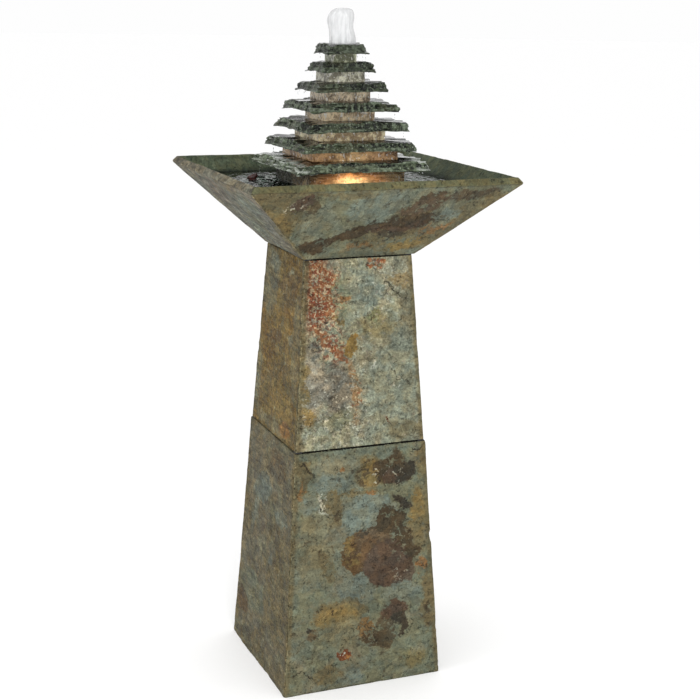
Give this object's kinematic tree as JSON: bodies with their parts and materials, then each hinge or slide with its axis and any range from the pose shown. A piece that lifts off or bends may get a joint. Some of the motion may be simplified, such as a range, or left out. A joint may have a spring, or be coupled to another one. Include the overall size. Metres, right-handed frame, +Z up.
{
  "type": "tiered water fountain",
  "caption": "Tapered square slate pedestal with a flared basin and a stepped tower of chipped plates. A pump lifts water to the top and a lamp lights the tower.",
  "frame": {"origin": "centre of the footprint on the ground", "axes": "+Z up, the broad front face towards -Y, +X to the right seen from the front"},
  "size_m": [0.4, 0.4, 0.9565],
  "materials": {
    "slate_base": "matte",
    "slate_column": "matte",
    "slate_basin": "matte",
    "slate_plates": "gloss",
    "spacer_stone": "satin",
    "resin": "matte",
    "rubber": "matte",
    "black_plastic": "satin",
    "grey_plastic": "satin",
    "magnet": "satin",
    "shaft_ceramic": "gloss",
    "steel": "satin",
    "clear_plastic": "gloss",
    "lens": "gloss",
    "led_board": "satin",
    "water": "gloss"
  },
  "bodies": {
    "base": {"base_front": "slate_base", "base_right": "slate_base", "base_back": "slate_base", "base_left": "slate_base", "base_cap": "slate_base", "base_corner_beads": "resin"},
    "column": {"column_front": "slate_column", "column_right": "slate_column", "column_back": "slate_column", "column_left": "slate_column", "column_cap": "slate_column", "column_corner_beads": "resin", "column_pads": "rubber"},
    "basin": {"basin_front": "slate_basin", "basin_right": "slate_basin", "basin_back": "slate_basin", "basin_left": "slate_basin", "basin_floor": "slate_basin", "basin_sealant": "resin", "basin_pads": "rubber", "cord_gland": "rubber", "pump_motor": "black_plastic", "pump_volute": "black_plastic", "pump_screws": "steel", "pump_feet": "rubber", "pump_shaft": "shaft_ceramic", "shaft_bushes": "rubber", "lamp_cup": "rubber", "lamp_yoke": "black_plastic"},
    "tower": {"chamber_front": "spacer_stone", "chamber_right": "spacer_stone", "chamber_back": "spacer_stone", "chamber_left": "spacer_stone", "spacer_1": "spacer_stone", "spacer_2": "spacer_stone", "spacer_3": "spacer_stone", "spacer_4": "spacer_stone", "spacer_5": "spacer_stone", "spacer_6": "spacer_stone", "plate_1": "slate_plates", "plate_2": "slate_plates", "plate_3": "slate_plates", "plate_4": "slate_plates", "plate_5": "slate_plates", "plate_6": "slate_plates", "plate_7": "slate_plates", "riser_tube": "clear_plastic", "bubbler_nozzle": "clear_plastic"},
    "rotor": {"rotor_magnet": "magnet", "impeller": "grey_plastic"},
    "intake": {"intake_cover": "black_plastic"},
    "dial": {"flow_dial": "grey_plastic"},
    "lamp_head": {"lamp_pins": "steel", "lamp_housing": "black_plastic", "lamp_bezel": "steel", "lamp_lens": "lens", "lamp_seal": "rubber", "led_board": "led_board"}
  },
  "joints": [
    {"name": "column_lift", "type": "slide", "parent": "base", "child": "column", "axis": [0, 0, 1], "range_m": [0, 0.06]},
    {"name": "basin_lift", "type": "slide", "parent": "column", "child": "basin", "axis": [0, 0, 1], "range_m": [0, 0.06]},
    {"name": "tower_lift", "type": "slide", "parent": "basin", "child": "tower", "axis": [0, 0, 1], "range_m": [0, 0.13]},
    {"name": "intake_pull", "type": "slide", "parent": "basin", "child": "intake", "axis": [0, -1, 0], "range_m": [0, 0.024]},
    {"name": "flow_turn", "type": "hinge", "parent": "intake", "child": "dial", "pos_m": [0, -0.027, 0.6875], "axis": [0, -1, 0], "range_deg": [0, 90]},
    {"name": "impeller_spin", "type": "hinge", "parent": "basin", "child": "rotor", "pos_m": [0, 0, 0.6875], "axis": [0, 1, 0], "continuous": true},
    {"name": "lamp_tilt", "type": "hinge", "parent": "basin", "child": "lamp_head", "pos_m": [-0.009, -0.10908, 0.72485], "axis": [1, 0, 0], "range_deg": [-25, 30]}
  ]
}
